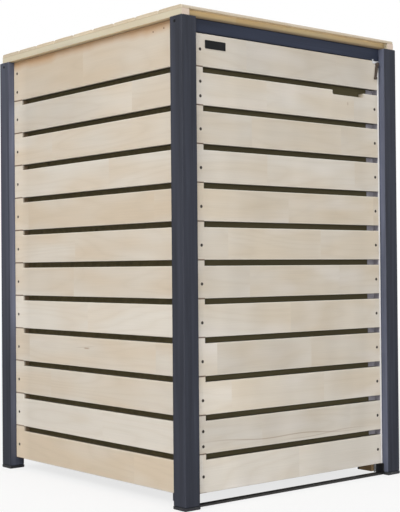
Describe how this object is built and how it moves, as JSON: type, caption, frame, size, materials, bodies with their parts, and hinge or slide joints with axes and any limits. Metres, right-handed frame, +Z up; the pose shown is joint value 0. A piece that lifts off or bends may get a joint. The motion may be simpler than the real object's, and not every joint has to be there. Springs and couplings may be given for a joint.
{
  "type": "wheelie bin store",
  "caption": "Slatted softwood store for a wheelie bin, with dark corner posts, a side-hung front door with a turning latch, and a flat lid hinged along the back.",
  "frame": {"origin": "on the floor under the middle of the store", "axes": "+Z up, the door faces -Y, +X to the right as seen from the front"},
  "size_m": [0.78, 0.865, 1.226],
  "materials": {
    "natural_softwood": "planed, natural",
    "lid_softwood": "planed, natural",
    "dark_stained_softwood": "opaque anthracite stain",
    "brown_lining": "dark brown, matt",
    "black_plastic": "matt",
    "galvanised_steel": "galvanised",
    "zinc_plated_steel": "zinc plated",
    "dark_coated_steel": "dark coating, satin"
  },
  "bodies": {
    "store": {"post_front_left": "dark_stained_softwood", "post_front_right": "dark_stained_softwood", "post_back_left": "dark_stained_softwood", "post_back_right": "dark_stained_softwood", "header_rail": "dark_stained_softwood", "rear_top_rail": "dark_stained_softwood", "side_wall_battens": "dark_stained_softwood", "back_wall_battens": "dark_stained_softwood", "threshold_bar": "dark_coated_steel", "foot_caps": "black_plastic", "left_wall_board_01": "natural_softwood", "left_wall_board_02": "natural_softwood", "left_wall_board_03": "natural_softwood", "left_wall_board_04": "natural_softwood", "left_wall_board_05": "natural_softwood", "left_wall_board_06": "natural_softwood", "left_wall_board_07": "natural_softwood", "left_wall_board_08": "natural_softwood", "left_wall_board_09": "natural_softwood", "left_wall_board_10": "natural_softwood", "left_wall_board_11": "natural_softwood", "left_wall_board_12": "natural_softwood", "right_wall_boards": "natural_softwood", "back_wall_boards": "natural_softwood", "left_wall_lining": "brown_lining", "right_wall_lining": "brown_lining", "back_wall_lining": "brown_lining", "lid_cleats": "natural_softwood", "floor_blocks": "natural_softwood", "door_hinge_frame_leaves": "zinc_plated_steel", "door_hinge_pins": "zinc_plated_steel", "lid_hinge_rail_leaves": "zinc_plated_steel", "lid_hinge_pins": "zinc_plated_steel"},
    "door": {"door_board_01": "natural_softwood", "door_board_02": "natural_softwood", "door_board_03": "natural_softwood", "door_board_04": "natural_softwood", "door_board_05": "natural_softwood", "door_board_06": "natural_softwood", "door_board_07": "natural_softwood", "door_board_08": "natural_softwood", "door_board_09": "natural_softwood", "door_board_10": "natural_softwood", "door_board_11": "natural_softwood", "door_board_12": "natural_softwood", "door_angle_hinge_side": "galvanised_steel", "door_angle_latch_side": "galvanised_steel", "door_lining": "brown_lining", "door_hinge_door_leaves": "zinc_plated_steel", "latch_plate": "zinc_plated_steel"},
    "latch": {"latch_lever": "dark_coated_steel", "latch_spindle": "zinc_plated_steel", "latch_tongue": "zinc_plated_steel"},
    "lid": {"lid_side_batten_left": "lid_softwood", "lid_side_batten_right": "lid_softwood", "lid_front_batten": "lid_softwood", "lid_rear_batten": "lid_softwood", "lid_middle_batten": "lid_softwood", "lid_deck_boards": "lid_softwood", "lid_hinge_lid_leaves": "zinc_plated_steel"}
  },
  "joints": [
    {"name": "door_swing", "type": "hinge", "parent": "store", "child": "door", "pos_m": [-0.3387, -0.4163, 0.6], "axis": [0, 0, -1], "range_deg": [0, 110]},
    {"name": "lid_swing", "type": "hinge", "parent": "store", "child": "lid", "pos_m": [0, 0.4283, 1.2], "axis": [-1, 0, 0], "range_deg": [0, 95]},
    {"name": "latch_turn", "type": "hinge", "parent": "door", "child": "latch", "pos_m": [0.3305, -0.4, 1.155], "axis": [0, 1, 0], "range_deg": [0, 90]}
  ]
}
